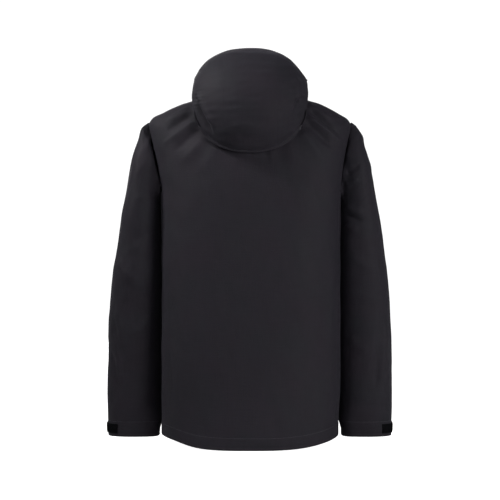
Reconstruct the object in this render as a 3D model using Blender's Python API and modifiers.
"""A waterproof hardshell jacket for mountaineering, hanging as if worn, hood down behind the neck.

+Z is up, the wearer faces -Y and the wearer's left is +X.  All lengths are in metres.
Everything is drafted in the wearer's frame and hung from one empty, jacket_origin, which puts
the lowest point of the back hem at z = 0 and the middle of the depth at y = 0.

A surface function takes two shares from 0 to 1, across and rise, and gives a point.  Paired
pieces are drafted on the left and mirrored by side, which is 1 on the left and -1 on the right.
"""

from math import acos, cos, pi, radians, sin, tan

import bmesh
import bpy
from mathutils import Matrix, Vector

for old in list(bpy.data.objects):
    bpy.data.objects.remove(old, do_unlink=True)

# ---------------------------------------------------------------- driving dimensions
SIDES = ((1, "left"), (-1, "right"))

CLOTH = 0.0012          # laminated face fabric with its backing and seam tape
LINING = 0.0008
SEAM = 0.0012           # gap left between two panels along a taped seam
SQUARE = 3.0            # squareness of the trunk's cross-section

HEM_LEVEL = 0.040
BACK_HEM_DROP = 0.022   # drop tail
HEM_FADE = 0.18         # level where the drop tail has faded out
FRONT_NECK_DROP = 0.065
NECK_DROP_START = 0.40
NECK_LEVEL = 0.770
SHOULDER_LEVEL = 0.706
ARMPIT_LEVEL = 0.556
ARMHOLE_START = 0.600   # level where the armhole starts to narrow
ARMHOLE_ANGLE = radians(17.0)
FRONT_EDGE = 0.0075     # x of the fabric's edge beside the front zip
FRAME_SHIFT = (0.0, -0.0140, BACK_HEM_DROP - HEM_LEVEL)  # drafting frame to the jacket's frame

# level, half width, depth of the back
SECTIONS = (
    (0.040, 0.1895, 0.142), (0.200, 0.1895, 0.145), (0.360, 0.1895, 0.144),
    (0.500, 0.1905, 0.141), (0.560, 0.1930, 0.138), (0.600, 0.2000, 0.133),
    (0.640, 0.2080, 0.126), (0.670, 0.2135, 0.117), (0.700, 0.2165, 0.105),
    (0.718, 0.2080, 0.097), (0.732, 0.1840, 0.091), (0.746, 0.1480, 0.087),
    (0.7575, 0.1130, 0.084), (0.770, 0.0780, 0.0815),
)

COLLAR_HALF_WIDTH = 0.074   # half width and depth of the back at the top edge
COLLAR_BACK = 0.073
COLLAR_TOP_BACK = 0.818
COLLAR_TOP_FRONT = 0.800
COLLAR_SEAM = 0.0012        # gap over the neck seam

FRONT_LOW = (HEM_LEVEL, 0.150)          # height and depth where the straight front starts
FRONT_HIGH = (COLLAR_TOP_FRONT, 0.088)  # height and depth at the collar's top edge

# height, outermost x of the sleeve
SLEEVE_OUT = (
    (0.030, 0.3025), (0.060, 0.3035), (0.150, 0.3035), (0.264, 0.3010), (0.316, 0.2990),
    (0.350, 0.2965), (0.385, 0.2940), (0.419, 0.2900), (0.454, 0.2855), (0.488, 0.2795),
    (0.522, 0.2735), (0.557, 0.2675), (0.591, 0.2620), (0.626, 0.2545), (0.660, 0.2440),
)
# height, half depth, y of the middle
SLEEVE_DEPTH = (
    (0.030, 0.047, -0.024), (0.120, 0.054, -0.020), (0.240, 0.064, -0.014),
    (0.335, 0.070, -0.010), (0.450, 0.076, -0.006), (0.560, 0.078, 0.000), (0.620, 0.074, 0.002),
)
SLEEVE_IN = 0.1945      # innermost x of the sleeve
SLEEVE_SQUARE = 2.3
CUFF_LEVEL = 0.033
SHOULDER_PIVOT = (0.238, 0.0, 0.630)
LIFT_CUT = ((0.262, 0.600), (0.198, 0.565))  # x and z of the cut between sleeve cap and sleeve
ELBOW_PIVOT = (0.246, -0.040, 0.335)
ELBOW_BEND = radians(60)
JOINT_GAP = 0.0015

# y and z down the middle of the hood, from its rim over the top to the sagging edge
HOOD_PROFILE = (
    (0.000, 0.8450), (0.045, 0.8604), (0.110, 0.8420), (0.158, 0.7950),
    (0.178, 0.7420), (0.174, 0.6900), (0.157, 0.6550), (0.137, 0.6366),
)
HOOD_POLE = (0.050, 0.7545)     # y and z that the profile shrinks to at the sides
HOOD_HALF_WIDTH = 0.1233
HOOD_SQUARE = 2.3
HOOD_SEAM_X = 0.056
HOOD_LAST_X = 0.1165            # where the cheek leaves the hood's rounded shape
HOOD_PIVOT = (0.0, -0.070, 0.745)

# ---------------------------------------------------------------- small tools


def clamp(value, low=0.0, high=1.0):
    return max(low, min(high, value))


def ease(start, end, at):
    share = clamp((at - start) / (end - start))
    return share * share * (3 - 2 * share)


def along(rows, at):
    """Smooth values between the rows of a table whose first column rises."""
    last = len(rows) - 1
    at = clamp(at, rows[0][0], rows[-1][0])
    i = 0
    while i < last - 1 and at > rows[i + 1][0]:
        i += 1
    span = rows[i + 1][0] - rows[i][0]
    t = (at - rows[i][0]) / span

    def slope(row, column):
        before, after = rows[max(row - 1, 0)], rows[min(row + 1, last)]
        return (after[column] - before[column]) / (after[0] - before[0])

    values = []
    for column in range(1, len(rows[0])):
        values.append(
            (2 * t**3 - 3 * t**2 + 1) * rows[i][column]
            + (t**3 - 2 * t**2 + t) * slope(i, column) * span
            + (3 * t**2 - 2 * t**3) * rows[i + 1][column]
            + (t**3 - t**2) * slope(i + 1, column) * span
        )
    return values if len(values) > 1 else values[0]


def catmull(points, share):
    """A smooth curve through points, evenly spaced in share from 0 to 1."""
    last = len(points) - 1
    place_on = clamp(share) * last
    i = min(int(place_on), last - 1)
    t = place_on - i
    near = [points[clamp(i + k, 0, last)] for k in (-1, 0, 1, 2)]
    return [
        0.5 * (2 * start + (end - before) * t
               + (2 * before - 5 * start + 4 * end - after) * t * t
               + (3 * start - before - 3 * end + after) * t**3)
        for before, start, end, after in zip(*near)
    ]


def arc(start, control, end, share):
    """A point of a quadratic Bezier curve."""
    rest = 1 - share
    return start * rest**2 + control * 2 * share * rest + end * share * share


def power(value, exponent):
    return (1 if value >= 0 else -1) * abs(value) ** exponent


def resting(value, floor):
    """Leaves a value above a floor alone and presses what is under it to a tenth."""
    return value if value > floor else floor + 0.1 * (value - floor)


def mirrored(point, side):
    return Vector((side * point[0], point[1], point[2]))


def stand_out(face, angle, rise, limits, out):
    """A point of a face, moved out along its normal. The limits bound rise."""
    point = face(angle, rise)
    if out:
        step = 0.004
        row = face(angle + step, rise) - face(angle - step, rise)
        up = (face(angle, min(rise + step, limits[1]))
              - face(angle, max(rise - step, limits[0])))
        point = point + row.cross(up).normalized() * out
    return point


# ---------------------------------------------------------------- shape of the trunk


def front_depth(z):
    (low, low_depth), (high, high_depth) = FRONT_LOW, FRONT_HIGH
    return low_depth + (high_depth - low_depth) * (z - low) / (high - low)


def section(level, behind):
    """Half width, depth of the back or front half, and how far the front falls at a level."""
    half, back = along(SECTIONS, level)
    fall = FRONT_NECK_DROP * ease(NECK_DROP_START, NECK_LEVEL, level)
    return half, back if behind else front_depth(level - fall), fall


def trunk_face(angle, level):
    to_back, to_side = sin(angle), cos(angle)
    half, depth, fall = section(level, to_back >= 0)
    tail = 1 - (1 - max(to_back, 0)) ** 1.1
    z = level - fall * max(-to_back, 0) ** 1.5
    z -= BACK_HEM_DROP * tail * (1 - ease(HEM_LEVEL, HEM_FADE, level))
    return Vector((half * power(to_side, 2 / SQUARE), depth * power(to_back, 2 / SQUARE), z))


def trunk(angle, level, out=0.0):
    """A point of the trunk: angle 0 at the wearer's left side, 90 degrees at the back."""
    return stand_out(trunk_face, angle, level, (HEM_LEVEL, NECK_LEVEL), out)


def trunk_core(point):
    return Vector((0, 0, point.z))


def side_angle(x, level):
    """Angle of the trunk's back half where its half width is x."""
    half = along(SECTIONS, level)[0]
    return acos(clamp(abs(x) / half) ** (SQUARE / 2))


def front_point(x, level, out=0.0):
    """A point of the trunk's front at x on the left."""
    return trunk(-side_angle(x, level), level, out)


def around(gap, share):
    """Angle from the front's left edge round the back to its right edge."""
    return -gap + (pi + 2 * gap) * share


def back_depth_at(x, z, out=0.0):
    """Depth at x and z of the trunk's back, or of a surface standing out from it."""
    if z - out > NECK_LEVEL:
        return 0.0
    half, back = along(SECTIONS, z - out)
    share = abs(x) / (half + out)
    return (back + out) * (1 - share**SQUARE) ** (1 / SQUARE) if share < 1 else 0.0


def shoulder_height(x, y):
    """Height of the trunk's upper surface above a place inside its outline."""
    low, high = 0.60, NECK_LEVEL
    for _ in range(24):
        level = (low + high) / 2
        half, depth, fall = section(level, y >= 0)
        if (abs(x) / half) ** SQUARE + (abs(y) / depth) ** SQUARE < 1:
            low = level
        else:
            high = level
    to_front = clamp(abs(y) / depth) ** (SQUARE / 2)
    return level - (fall * to_front**1.5 if y < 0 else 0.0)


def armhole_angle(level):
    """Half the angle that the side takes up at a level: side panel below, armhole above."""
    if level <= ARMHOLE_START:
        return ARMHOLE_ANGLE
    rise = (level - ARMHOLE_START) / (SHOULDER_LEVEL - ARMHOLE_START)
    return ARMHOLE_ANGLE * max(1 - rise * rise, 0.0) ** 0.5


# angle of a seam gap at the squared side, as a share of gap over depth
SIDE_SEAM_TURN = 0.35
SHOULDER_SEAM_TURN = 0.1
SHOULDER_SEAM_START = SHOULDER_LEVEL - 0.02


def seam_angle(level):
    depth = along(SECTIONS, level)[1]
    turn = SIDE_SEAM_TURN if level < SHOULDER_SEAM_START else SHOULDER_SEAM_TURN
    return armhole_angle(level) + SEAM / 2 / depth * turn


# ---------------------------------------------------------------- shape of the sleeve


def sleeve(angle, z, out=0.0):
    """A point of the left sleeve: angle 0 at the outside, 90 degrees at the back."""
    far = along(SLEEVE_OUT, z)
    near = SLEEVE_IN + 0.0040 * ease(0.48, 0.56, z)
    deep, middle = along(SLEEVE_DEPTH, z)
    half = (far - near) / 2
    x = (far + near) / 2 + (half + out) * power(cos(angle), 2 / SLEEVE_SQUARE)
    y = middle + (deep + out) * power(sin(angle), 2 / SLEEVE_SQUARE)
    return Vector((x, y, z))


def sleeve_core(point):
    z = clamp(point.z, 0.03, 0.66)
    middle = (along(SLEEVE_OUT, z) + SLEEVE_IN) / 2
    return Vector((middle if point.x > 0 else -middle, along(SLEEVE_DEPTH, z)[1], point.z))


def cut_height(x):
    (out_x, out_z), (in_x, in_z) = LIFT_CUT
    return out_z + (x - out_x) * (in_z - out_z) / (in_x - out_x)


def sleeve_at_cut(angle, shift):
    """The sleeve's point on the sloping cut, found by repeated steps."""
    z = cut_height(0.23)
    for _ in range(6):
        z = cut_height(sleeve(angle, z).x) + shift
    return sleeve(angle, z)


# ---------------------------------------------------------------- Blender helpers
parts = bpy.data.collections.new("hardshell_jacket")
cutters = bpy.data.collections.new("cutters")
for collection in (parts, cutters):
    bpy.context.scene.collection.children.link(collection)


def material(name, color, roughness, metallic=0.0):
    made = bpy.data.materials.new(name)
    made.use_nodes = True
    shader = made.node_tree.nodes["Principled BSDF"]
    shader.inputs["Base Color"].default_value = (*color, 1)
    shader.inputs["Roughness"].default_value = roughness
    shader.inputs["Metallic"].default_value = metallic
    return made


FACE = material("face_fabric", color=(0.021, 0.020, 0.026), roughness=0.62)
INNER = material("backer_fabric", color=(0.050, 0.050, 0.056), roughness=0.80)
TRIM = material("trim_tape", color=(0.012, 0.012, 0.015), roughness=0.70)
COIL = material("zip_coil", color=(0.010, 0.010, 0.012), roughness=0.45)
METAL = material("slider_metal", color=(0.030, 0.030, 0.034), roughness=0.38, metallic=0.7)
MOULDED = material("moulded_plastic", color=(0.014, 0.014, 0.017), roughness=0.50)
CORD = material("elastic_cord", color=(0.020, 0.020, 0.024), roughness=0.75)


def empty(name, at, parent=None):
    """An empty that keeps its place in the wearer's frame as the property "at"."""
    made = bpy.data.objects.new(name, None)
    parts.objects.link(made)
    made.parent = parent
    made.location = Vector(at) - (Vector(parent["at"]) if parent else Vector())
    made["at"] = list(at)
    return made


def mesh_object(name, draft, mat, collection=parts, smooth=True):
    mesh = bpy.data.meshes.new(name)
    draft.to_mesh(mesh)
    draft.free()
    if smooth:
        mesh.shade_smooth()
        mesh.set_sharp_from_angle(angle=radians(35))
    mesh.materials.append(mat)
    obj = bpy.data.objects.new(name, mesh)
    collection.objects.link(obj)
    return obj


def sheet(name, point, grid, core, mat, parent, thickness=CLOTH, tube=False, side=1):
    """A grid of columns and rows wrapped onto a surface and thickened inwards.

    core gives a point inside the jacket for each place; tube joins the first and last columns.
    """
    draft = bmesh.new()
    bmesh.ops.create_grid(draft, x_segments=grid[0], y_segments=grid[1], size=0.5)
    for vert in draft.verts:
        vert.co = mirrored(point(vert.co.x + 0.5, vert.co.y + 0.5), side)
    if tube:
        bmesh.ops.remove_doubles(draft, verts=draft.verts, dist=1e-6)
    draft.normal_update()
    lean = 0.0
    for face in draft.faces:
        centre = face.calc_center_median()
        lean += face.normal.dot(centre - core(centre)) * face.calc_area()
    if lean < 0:
        bmesh.ops.reverse_faces(draft, faces=draft.faces)
    obj = mesh_object(name, draft, mat)
    solid = obj.modifiers.new("thickness", "SOLIDIFY")
    solid.thickness = thickness
    solid.offset = -1
    solid.use_even_offset = True
    obj.data.transform(Matrix.Translation(-Vector(parent["at"])))
    obj.parent = parent
    return obj


def prism(name, outline, depth, mat, collection=parts):
    """A flat outline in local X and Y, extruded along local Z, centred on it."""
    draft = bmesh.new()
    face = draft.faces.new([draft.verts.new((x, y, -depth / 2)) for x, y in outline])
    grown = bmesh.ops.extrude_face_region(draft, geom=[face])["geom"]
    moved = [item for item in grown if isinstance(item, bmesh.types.BMVert)]
    bmesh.ops.translate(draft, verts=moved, vec=(0, 0, depth))
    bmesh.ops.recalc_face_normals(draft, faces=draft.faces)
    return mesh_object(name, draft, mat, collection, smooth=False)


def arch_outline(outer, inner, foot, top, under):
    """A square arch: outer and inner half widths, then the y of its feet, top and underside."""
    return [(-outer, foot), (-outer, top), (outer, top), (outer, foot),
            (inner, foot), (inner, under), (-inner, under), (-inner, foot)]


def block(name, low, high, mat, collection=parts):
    draft = bmesh.new()
    size = Vector(high) - Vector(low)
    middle = (Vector(high) + Vector(low)) / 2
    bmesh.ops.create_cube(
        draft, size=1, matrix=Matrix.Translation(middle) @ Matrix.Diagonal((*size, 1)))
    return mesh_object(name, draft, mat, collection, smooth=False)


def corded(name, points, radius, mat, resolution):
    """A round cord through points, hung from the origin."""
    curve = bpy.data.curves.new(name, "CURVE")
    curve.dimensions = "3D"
    curve.bevel_depth = radius
    curve.bevel_resolution = resolution
    curve.use_fill_caps = True
    spline = curve.splines.new("POLY")
    spline.points.add(len(points) - 1)
    for knot, point in zip(spline.points, points):
        knot.co = (*point, 1)
    curve.materials.append(mat)
    made = bpy.data.objects.new(name, curve)
    parts.objects.link(made)
    made.parent = origin


def ring(name, inner, outer, length, mat):
    """A turned ring about local Y."""
    draft = bmesh.new()
    half = length / 2
    corners = [(outer, -half), (outer, half), (inner, half), (inner, -half)]
    verts = [draft.verts.new((x, y, 0)) for x, y in corners]
    for start, end in zip(verts, verts[1:] + verts[:1]):
        draft.edges.new((start, end))
    obj = mesh_object(name, draft, mat)
    turn = obj.modifiers.new("turn", "SCREW")
    turn.axis = "Y"
    turn.steps = turn.render_steps = 10
    turn.use_merge_vertices = True
    turn.merge_threshold = 0.00001
    turn.use_normal_calculate = True
    turn.use_normal_flip = True
    return obj


def combine(obj, tool, operation):
    """Cuts or joins obj with a tool that is kept out of the render."""
    tool.hide_render = True
    tool.display_type = "WIRE"
    step = obj.modifiers.new(operation.lower(), "BOOLEAN")
    step.operation = operation
    step.solver = "EXACT"
    step.object = tool


def place(obj, matrix, parent):
    """Puts an object drafted in a local frame at a matrix of the wearer's frame."""
    obj.parent = parent
    local = Matrix.Translation(-Vector(parent["at"])) @ matrix
    obj.location = local.to_translation()
    obj.rotation_euler = local.to_euler()


def line_frame(point, up, outward):
    """Local Z runs up the line and local -Y points out of the fabric."""
    z = Vector(up).normalized()
    y = -(Vector(outward) - z * Vector(outward).dot(z)).normalized()
    x = y.cross(z)
    return Matrix.Translation(point) @ Matrix((x, y, z)).transposed().to_4x4()


# stands a flat outline up: local Y to Z and local Z to -Y
UPRIGHT = Matrix(((1, 0, 0, 0), (0, 0, -1, 0), (0, 1, 0, 0), (0, 0, 0, 1)))
# lays local Z along X and local X along -Z
CROSSWISE = Matrix(((0, 0, 1, 0), (0, 1, 0, 0), (-1, 0, 0, 0), (0, 0, 0, 1)))

origin = empty("jacket_origin", (0, 0, 0))
origin.location = FRAME_SHIFT

# ---------------------------------------------------------------- trunk panels
PANEL_TOP = NECK_LEVEL - 0.0004
ROW_TURN = (0.62, 0.640)        # share of the rows, and the level, where they draw closer
SIDE_PANEL_TOP = ARMPIT_LEVEL - 0.004
SIDE_PANEL_EASE = 0.0045        # extra angle left free at each edge of the side panel


def row_level(rise):
    """Rows close together over the shoulder and wide apart down the body."""
    turn, turn_level = ROW_TURN
    if rise < turn:
        return HEM_LEVEL + (turn_level - HEM_LEVEL) * rise / turn
    return turn_level + (PANEL_TOP - turn_level) * ((rise - turn) / (1 - turn)) ** 0.85


def back_panel(across, rise):
    level = row_level(rise)
    start = seam_angle(level)
    return trunk(start + (pi - 2 * start) * across, level)


def front_panel(across, rise):
    level = row_level(rise)
    start, end = -seam_angle(level), -side_angle(FRONT_EDGE, level)
    return trunk(start + (end - start) * across, level)


def side_panel(across, rise):
    level = HEM_LEVEL + (SIDE_PANEL_TOP - HEM_LEVEL) * rise
    seam = SEAM / 2 / along(SECTIONS, level)[1] * SIDE_SEAM_TURN
    half = ARMHOLE_ANGLE - seam - SIDE_PANEL_EASE
    return trunk(-half + 2 * half * across, level)


sheet("back_panel", back_panel, (12, 14), trunk_core, FACE, origin)
for side, word in SIDES:
    sheet(f"{word}_front_panel", front_panel, (8, 13), trunk_core, FACE, origin, side=side)
    sheet(f"{word}_side_panel", side_panel, (3, 7), trunk_core, FACE, origin, side=side)

# ---------------------------------------------------------------- sleeve caps
ARMHOLE_LOW, ARMHOLE_HIGH = ARMPIT_LEVEL + 0.012, SHOULDER_LEVEL - 0.001
ARMHOLE_CLEAR = 0.0016          # cap's inner edge beyond the trunk, along x
CAP_SPREAD = radians(148)       # the cap reaches this far round the sleeve, front and back
CAP_CENTRE = (0.205, 0.60)      # x and z that the cap bulges away from
CAP_BULGE = 0.011


def armhole_edge(share):
    """The armhole from the back of the armpit over the shoulder point to its front."""
    level = ARMHOLE_LOW + (ARMHOLE_HIGH - ARMHOLE_LOW) * sin(pi * share) ** 0.8
    turn = armhole_angle(level) * (1 if share < 0.5 else -1)
    return trunk(turn, level) + Vector((ARMHOLE_CLEAR, 0, 0))


def sleeve_cap(across, rise):
    inner = armhole_edge(across)
    outer = sleeve_at_cut(CAP_SPREAD * (1 - 2 * across), JOINT_GAP / 2)
    middle = (inner + outer) / 2
    centre_x, centre_z = CAP_CENTRE
    bulge = Vector((max(middle.x - centre_x, 0.0), middle.y * 0.8, (middle.z - centre_z) * 0.8))
    return arc(inner, middle + bulge.normalized() * CAP_BULGE, outer, rise)


# ---------------------------------------------------------------- sleeves
ELBOW_SLOPE = tan(ELBOW_BEND / 2 + radians(1))  # room to bend, with a degree to spare
FACING_SINK = 0.0022
FACING_RISE, FACING_WIDE = 0.001, 0.030
LOOP_PATCH = dict(start=-62, end=58, low=0.0385, high=0.0585, out=0.0020)
CUFF_TAB = dict(start=-100, end=22, low=0.0375, high=0.0595, out=0.0042)  # sewn end at start


def elbow_cut(y, sign):
    """Height of the elbow's cut, above (1) or below (-1) a wedge that opens to the front."""
    wedge = max(ELBOW_PIVOT[1] - y, 0.0) * ELBOW_SLOPE
    return ELBOW_PIVOT[2] + sign * (JOINT_GAP + wedge)


def sleeve_upper(across, rise):
    angle = 2 * pi * across
    top_z = sleeve_at_cut(angle, -JOINT_GAP / 2).z
    low_z = elbow_cut(sleeve(angle, ELBOW_PIVOT[2]).y, 1)
    return sleeve(angle, low_z + (top_z - low_z) * rise)


def sleeve_lower(across, rise):
    angle = 2 * pi * across
    top_z = elbow_cut(sleeve(angle, ELBOW_PIVOT[2]).y, -1)
    return sleeve(angle, CUFF_LEVEL + (top_z - CUFF_LEVEL) * rise)


def cuff_facing(across, rise):
    """Folded facing inside the cuff."""
    return sleeve(2 * pi * across, CUFF_LEVEL + FACING_RISE + FACING_WIDE * rise, -FACING_SINK)


def cuff_patch(start, end, low, high, out):
    """A surface on the cuff between two angles in degrees and two heights."""
    def point(across, rise):
        return sleeve(radians(start + (end - start) * across), low + (high - low) * rise, out)
    return point


def build_sleeve(side, word):
    sheet(f"{word}_sleeve_cap", sleeve_cap, (12, 4), sleeve_core, FACE, origin, side=side)
    shoulder = empty(f"{word}_shoulder_axis", mirrored(SHOULDER_PIVOT, side), origin)
    elbow = empty(f"{word}_elbow_axis", mirrored(ELBOW_PIVOT, side), shoulder)
    sheet(f"{word}_sleeve_upper", sleeve_upper, (16, 5), sleeve_core, FACE, shoulder,
          tube=True, side=side)
    sheet(f"{word}_sleeve_lower", sleeve_lower, (16, 5), sleeve_core, FACE, elbow,
          tube=True, side=side)
    sheet(f"{word}_cuff_facing", cuff_facing, (16, 1), sleeve_core, INNER, elbow,
          LINING, tube=True, side=side)
    sheet(f"{word}_cuff_loop_patch", cuff_patch(**LOOP_PATCH), (10, 1), sleeve_core, TRIM,
          elbow, 0.0010, side=side)
    tab = cuff_patch(**CUFF_TAB)
    tab_axis = empty(f"{word}_cuff_tab_axis", mirrored(tab(0, 0.5), side), elbow)
    sheet(f"{word}_cuff_tab", tab, (10, 1), sleeve_core, MOULDED, tab_axis, 0.0014, side=side)


for side, word in SIDES:
    build_sleeve(side, word)

# ---------------------------------------------------------------- slide fasteners
CHAIN_GAP = 0.0012      # half the space between the two chains
CHAIN_OUT = 0.0040
CHAIN_THICK = 0.0020
TAPE_OUT = 0.0140
TAPE_THICK = 0.0006
TAPE_SINK = CLOTH + 0.0008
ZIP_SINK = 0.0014       # depth of the chain's middle under the fabric's face
SLIDER_SLOT = 0.0014    # half the space between the slider's plates
SLIDER_PLATE = 0.0012
SLIDER_HALF = 0.0042
SLIDER_POST = 0.0007
SLIDER_LONG = 0.0110
BRIDGE_CLEAR = 0.0027
BRIDGE_THICK = 0.0010
BRIDGE_HALF = 0.0012
BRIDGE_IN = 0.0032      # half the length of the bridge's opening
BRIDGE_SUNK = 0.0004    # bridge's feet inside the slider's plate
PULL_OFF = 0.00135      # pull's pivot in front of the slider's face
PULL_THICK = 0.0015
PULL_BAR = PULL_THICK / 2       # half the square crossbar
PULL_WINDOW = 0.0056
PULL_HALF = 0.0030
PULL_WINDOW_HALF = 0.0017
PULL_FLARE = 0.0006     # extra half width of the grip
MAIN_PULL = 0.034       # lengths of the pulls
POCKET_PULL = 0.028
ZIP_LOW, ZIP_HIGH = 0.056, 0.796
MAIN_REST = 0.786       # height of the closed main slider
BOX_HEIGHT = 0.0465


def slider(name, frame, axis):
    """Front plate, back plate and the post between them, with a bridge that holds the pull."""
    wide, slot, post, face = SLIDER_HALF, SLIDER_SLOT, SLIDER_POST, SLIDER_SLOT + SLIDER_PLATE
    outline = [(-wide, -face), (wide, -face), (wide, -slot), (post, -slot),
               (post, slot), (wide, slot), (wide, face), (-wide, face),
               (-wide, slot), (-post, slot), (-post, -slot), (-wide, -slot)]
    obj = prism(name, outline, SLIDER_LONG, METAL)
    place(obj, frame, axis)
    under = -face - BRIDGE_CLEAR
    outline = arch_outline(BRIDGE_IN + BRIDGE_THICK, BRIDGE_IN,
                           BRIDGE_SUNK - face, under - BRIDGE_THICK, under)
    bridge = prism(name + "_bridge", outline, 2 * BRIDGE_HALF, METAL, cutters)
    place(bridge, frame @ CROSSWISE, axis)
    combine(obj, bridge, "UNION")


def pull(name, frame, axis, length):
    """Flat pull with a window that takes the slider's bridge. Its crossbar lies on the pivot."""
    half, grip = PULL_HALF, PULL_HALF + PULL_FLARE
    left = [(-half, PULL_BAR), (-half, -PULL_WINDOW - 0.002), (-grip, -PULL_WINDOW - 0.004),
            (-grip, -length + 0.002), (-half + 0.001, -length)]
    outline = left + [(-x, y) for x, y in reversed(left)]
    obj = prism(name, outline, PULL_THICK, MOULDED)
    obj.data.transform(UPRIGHT)
    place(obj, frame, axis)
    window = block(name + "_window", (-PULL_WINDOW_HALF, -0.002, -PULL_WINDOW),
                   (PULL_WINDOW_HALF, 0.002, -PULL_BAR), MOULDED, cutters)
    place(window, frame, axis)
    combine(obj, window, "DIFFERENCE")


def slider_with_pull(zip_name, stem, frame, length):
    """A slider on the axis it slides along and its pull on the axis it swings about."""
    slide_axis = empty(f"{zip_name}_zip_axis", frame.to_translation(), origin)
    slider(f"{stem}_slider", frame, slide_axis)
    pivot = frame @ Matrix.Translation((0, -SLIDER_SLOT - SLIDER_PLATE - PULL_OFF, 0))
    pull_axis = empty(f"{zip_name}_pull_axis", pivot.to_translation(), slide_axis)
    pull(f"{stem}_pull", pivot, pull_axis, length)


# ---------------------------------------------------------------- front zip


def zip_line(z, x=0.0):
    return Vector((x, -front_depth(z), z))


zip_way = (zip_line(ZIP_HIGH) - zip_line(ZIP_LOW)).normalized()
zip_out = Vector((0, -zip_way.z, zip_way.y))


def zip_frame(z):
    """Frame in the middle of the chain at a height."""
    return line_frame(zip_line(z) - zip_out * ZIP_SINK, zip_way, zip_out)


def zip_half(side, word):
    """One tape with its chain, straight, drafted as a profile and extruded."""
    start, end = zip_line(ZIP_LOW), zip_line(ZIP_HIGH)
    top, bottom = ZIP_SINK - CHAIN_THICK / 2, ZIP_SINK + CHAIN_THICK / 2
    tape_back = TAPE_SINK + TAPE_THICK
    outline = [(CHAIN_GAP, top), (CHAIN_GAP, bottom), (CHAIN_OUT, bottom),
               (CHAIN_OUT, tape_back), (TAPE_OUT, tape_back), (TAPE_OUT, TAPE_SINK),
               (CHAIN_OUT, TAPE_SINK), (CHAIN_OUT, top)]
    outline = [(side * x, y) for x, y in outline]
    obj = prism(f"{word}_zip_tape", outline, (end - start).length, COIL)
    place(obj, line_frame((start + end) / 2, end - start, (0, -1, 0)), origin)


for side, word in SIDES:
    zip_half(side, word)
slider_with_pull("main", "main_zip", zip_frame(MAIN_REST), MAIN_PULL)

# the box that joins the two tapes at the hem
box = block("zip_bottom_box", (-0.0058, -0.0018, -0.0085), (0.0058, 0.0020, 0.0085), MOULDED)
place(box, zip_frame(BOX_HEIGHT), origin)

BAND_HALF = 0.021
BAND_SINK = 0.0048
BAND_THICK = 0.0010


def band_behind_zip(low, high):
    def point(across, rise):
        z = low + (high - low) * rise
        return zip_line(z, (2 * across - 1) * BAND_HALF) - zip_out * BAND_SINK
    return point


sheet("chin_guard", band_behind_zip(0.762, 0.798), (4, 2), trunk_core, INNER, origin, BAND_THICK)
sheet("storm_flap", band_behind_zip(0.052, 0.759), (2, 8), trunk_core, FACE, origin, BAND_THICK)

# ---------------------------------------------------------------- collar
NECK_HALF_WIDTH, NECK_BACK = SECTIONS[-1][1:]
COLLAR_MEAN_HALF = (NECK_HALF_WIDTH + COLLAR_HALF_WIDTH) / 2
COLLAR_LINING_SINK = 0.0031
COLLAR_LINING_EDGE = 0.0225


def collar_face(angle, rise):
    """The standing collar: rise 0 on the neck seam and 1 on its top edge."""
    to_back, to_side = sin(angle), cos(angle)
    top_z = COLLAR_TOP_BACK
    if to_back < 0:
        top_z += (COLLAR_TOP_FRONT - COLLAR_TOP_BACK) * (-to_back) ** 1.5
    low_z = trunk(angle, NECK_LEVEL).z + COLLAR_SEAM
    half = NECK_HALF_WIDTH + (COLLAR_HALF_WIDTH - NECK_HALF_WIDTH) * rise
    depth = NECK_BACK + (COLLAR_BACK - NECK_BACK) * rise
    if to_back < 0:
        front_low = trunk(-pi / 2, NECK_LEVEL).z + COLLAR_SEAM
        depth = front_depth(front_low + (COLLAR_TOP_FRONT - front_low) * rise)
    return Vector((half * power(to_side, 2 / SQUARE), depth * power(to_back, 2 / SQUARE),
                   low_z + (top_z - low_z) * rise))


def collar(out, edge, low, high):
    """A layer of the collar, open at the front between -edge and edge."""
    gap = acos((edge / COLLAR_MEAN_HALF) ** (SQUARE / 2))

    def point(across, rise):
        return stand_out(collar_face, around(gap, across), low + (high - low) * rise, (0, 1), out)
    return point


sheet("collar_shell", collar(0.0, FRONT_EDGE, 0.0, 1.0), (20, 2), trunk_core, FACE, origin)
sheet("collar_lining", collar(-COLLAR_LINING_SINK, COLLAR_LINING_EDGE, 0.04, 0.97), (18, 2),
      trunk_core, INNER, origin, LINING)

# hanger loop inside the back of the neck
LOOP_HALF, LOOP_THICK, LOOP_WIDE = 0.030, 0.0016, 0.006
LOOP_LOW, LOOP_HIGH, LOOP_Y = 0.762, 0.784, 0.0665
loop_outline = arch_outline(LOOP_HALF, LOOP_HALF - LOOP_THICK,
                            LOOP_LOW, LOOP_HIGH, LOOP_HIGH - LOOP_THICK)
loop = prism("hanger_loop", loop_outline, LOOP_WIDE, TRIM)
place(loop, Matrix.Translation((0, LOOP_Y, 0)) @ UPRIGHT, origin)

# ---------------------------------------------------------------- hem
HEM_EDGE = 0.024                # x where the facing stops beside the front zip
HEM_RISE, HEM_WIDE = 0.002, 0.024
HEM_SINK = 0.0050
CORD_LEVEL = HEM_LEVEL + 0.013
CORD_SINK = 0.0031
CORD_STEPS = 27
TAIL_X = SECTIONS[0][1] - 0.0132
TAIL_HALF = 0.045
LOCK_Y = -0.030


def hem_facing(across, rise):
    """Facing turned up inside the hem, open at the front zip."""
    level = HEM_LEVEL + HEM_RISE + HEM_WIDE * rise
    return trunk(around(side_angle(HEM_EDGE, level), across), level, -HEM_SINK)


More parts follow.
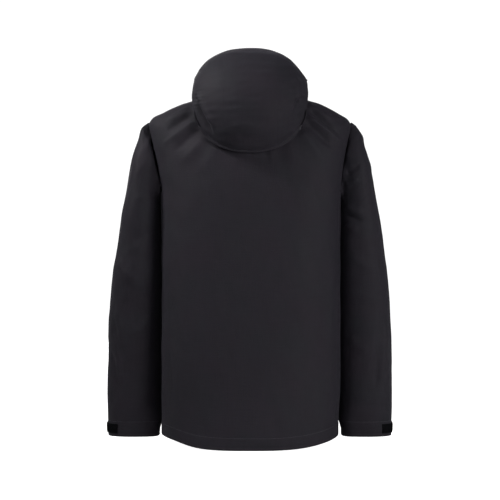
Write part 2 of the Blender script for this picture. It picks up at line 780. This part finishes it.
def build_hem_adjuster(side, word):
    """A short straight cord inside the hem with a sprung lock on it."""
    x = side * TAIL_X
    line = [(x, y, CORD_LEVEL) for y in (-TAIL_HALF, 0.0, TAIL_HALF)]
    corded(f"{word}_hem_cord_tail", line, radius=0.00125, mat=CORD, resolution=1)
    axis = empty(f"{word}_hem_lock_axis", (x, LOCK_Y, CORD_LEVEL), origin)
    lock = ring(f"{word}_hem_cord_lock", inner=0.0020, outer=0.0044, length=0.015, mat=MOULDED)
    lock.parent = axis


sheet("hem_facing", hem_facing, (28, 1), trunk_core, INNER, origin, LINING)
cord_gap = side_angle(HEM_EDGE + 0.004, HEM_LEVEL)
cord_line = [trunk(around(cord_gap, k / CORD_STEPS), CORD_LEVEL, -CORD_SINK)
             for k in range(CORD_STEPS + 1)]
corded("hem_drawcord", cord_line, radius=0.0010, mat=CORD, resolution=0)
for side, word in SIDES:
    build_hem_adjuster(side, word)

# ---------------------------------------------------------------- hand pockets
POCKET_X = 0.125
POCKET_LOW, POCKET_HIGH = 0.205, 0.385
POCKET_MIDDLE = (POCKET_LOW + POCKET_HIGH) / 2
POCKET_OPEN = 0.0096            # width of the opening in the panel
POCKET_SINK = 0.0003
POCKET_CHAIN_HALF = 0.0036
POCKET_REST = 0.013             # closed slider's distance from the top end
WELT_WIDE, WELT_END, WELT_OUT = 0.026, 0.012, 0.0013
BAG_NEAR, BAG_WIDE = 0.045, 0.115   # x of the bag's edge nearer the front zip, and its width
BAG_BELOW, BAG_ABOVE = 0.050, 0.040
BAG_SINK = 0.0085


def pocket_welt(across, rise):
    z = POCKET_LOW - WELT_END + (POCKET_HIGH - POCKET_LOW + 2 * WELT_END) * rise
    return front_point(POCKET_X + WELT_WIDE * (across - 0.5), z, WELT_OUT)


def pocket_bag(across, rise):
    z = POCKET_LOW - BAG_BELOW + (POCKET_HIGH - POCKET_LOW + BAG_BELOW + BAG_ABOVE) * rise
    return front_point(BAG_NEAR + BAG_WIDE * across, z, -BAG_SINK)


def centred_block(name, half, mat, collection, frame):
    made = block(name, [-length for length in half], half, mat, collection)
    place(made, frame, origin)
    return made


def build_pocket(side, word):
    low = mirrored(front_point(POCKET_X, POCKET_LOW), side)
    high = mirrored(front_point(POCKET_X, POCKET_HIGH), side)
    outward = mirrored(front_point(POCKET_X, POCKET_MIDDLE, 1.0)
                       - front_point(POCKET_X, POCKET_MIDDLE), side)
    frame = line_frame((low + high) / 2 - outward * POCKET_SINK, high - low, outward)
    half = (high - low).length / 2

    opening = centred_block(f"{word}_pocket_opening", (POCKET_OPEN / 2, 0.02, half + 0.001),
                            TRIM, cutters, frame)
    combine(bpy.data.objects[f"{word}_front_panel"], opening, "DIFFERENCE")
    welt = sheet(f"{word}_pocket_welt", pocket_welt, (6, 5), trunk_core, TRIM, origin,
                 0.0009, side=side)
    combine(welt, opening, "DIFFERENCE")
    sheet(f"{word}_pocket_bag", pocket_bag, (5, 4), trunk_core, INNER, origin, LINING, side=side)

    chain = centred_block(f"{word}_pocket_zip",
                          (POCKET_CHAIN_HALF, CHAIN_THICK / 2, half - 0.0004),
                          COIL, parts, frame)
    slit = centred_block(f"{word}_pocket_slit", (CHAIN_GAP, 0.003, half - 0.006),
                         COIL, cutters, frame)
    combine(chain, slit, "DIFFERENCE")
    top = frame @ Matrix.Translation((0, 0, half - POCKET_REST))
    slider_with_pull(f"{word}_pocket", f"{word}_pocket", top, POCKET_PULL)


for side, word in SIDES:
    build_pocket(side, word)

# ---------------------------------------------------------------- hood
GUSSET_LOW = 0.7655
GUSSET_LAP = 0.004              # the gusset's top edge above the sagging edge
CHEEK_AT = 0.50                 # share of the side panel's width where the cheek starts
CHEEK_CONTROL = (0.128, 0.012, 0.800)   # Bezier control and end of the cheek at the rim
CHEEK_END = (0.095, -0.052, 0.797)
CHEEK_DROP = 0.036              # how much lower they lie at the sagging edge
CHEEK_BACK_CLEAR = 0.018
CHEEK_SHOULDER_CLEAR = 0.012
BRIM_HALF = 0.074
BRIM_START, BRIM_REACH = 0.002, 0.11    # shares of the hood's profile
BRIM_OUT = 0.0026


def hood_section(x, share):
    """The hood's section at x: share 0 on the rim, 1 on the sagging edge, kept off the back."""
    y, z = catmull(HOOD_PROFILE, share)
    scale = (1 - (abs(x) / HOOD_HALF_WIDTH) ** HOOD_SQUARE) ** (1 / HOOD_SQUARE)
    y = HOOD_POLE[0] + (y - HOOD_POLE[0]) * scale
    z = HOOD_POLE[1] + (z - HOOD_POLE[1]) * scale
    clear = 0.012 + 0.006 * ease(0.085, HOOD_LAST_X, abs(x))
    return Vector((x, resting(y, back_depth_at(x, z, clear)), z))


def gusset(across, rise):
    """Inner neck piece between the neck seam and the hood's sagging edge."""
    x = (2 * across - 1) * (0.066 + 0.026 * rise**0.5)
    top = hood_section(x, 1.0).z + GUSSET_LAP
    level = GUSSET_LOW + (top - GUSSET_LOW) * rise
    turn = side_angle(x, level)
    return trunk(turn if x >= 0 else pi - turn, level, 0.0045 + 0.0020 * rise)


def hood_centre(across, rise):
    return hood_section((2 * across - 1) * (HOOD_SEAM_X - SEAM / 2), rise)


def hood_side(across, rise):
    """Rounded side of the hood, then the cheek that lies forward over the shoulder."""
    if across <= CHEEK_AT:
        start = HOOD_SEAM_X + SEAM / 2
        return hood_section(start + (HOOD_LAST_X - start) * (across / CHEEK_AT) ** 0.8, rise)
    drop = Vector((0, 0, CHEEK_DROP * rise))
    point = arc(hood_section(HOOD_LAST_X, rise), Vector(CHEEK_CONTROL) - drop,
                Vector(CHEEK_END) - drop, (across - CHEEK_AT) / (1 - CHEEK_AT))
    if point.y > 0.03:
        point.y = resting(point.y, back_depth_at(point.x, point.z, CHEEK_BACK_CLEAR))
    point.z = resting(point.z, shoulder_height(point.x, point.y) + CHEEK_SHOULDER_CLEAR)
    return point


def brim(across, rise):
    """Laminated visor on the hood's rim."""
    x = (2 * across - 1) * BRIM_HALF
    share = BRIM_START + BRIM_REACH * rise
    point = hood_section(x, share)
    row = hood_section(x + 0.002, share) - hood_section(x - 0.002, share)
    normal = row.cross(hood_section(x, share + 0.010) - point).normalized()
    if normal.z < 0:
        normal = -normal
    return point + normal * BRIM_OUT


def gusset_core(point):
    return Vector((point.x * 0.5, 0.0, point.z * 0.5 + 0.35))


def hood_core(point):
    return Vector((point.x * 0.7, 0.08, 0.755))


hood_axis = empty("hood_axis", HOOD_PIVOT, origin)
sheet("hood_neck_gusset", gusset, (8, 4), gusset_core, FACE, origin, LINING)
sheet("hood_center_panel", hood_centre, (4, 11), hood_core, FACE, hood_axis)
for side, word in SIDES:
    sheet(f"hood_{word}_panel", hood_side, (10, 11), hood_core, FACE, hood_axis, side=side)
sheet("hood_brim", brim, (8, 2), hood_core, MOULDED, hood_axis, 0.0012)
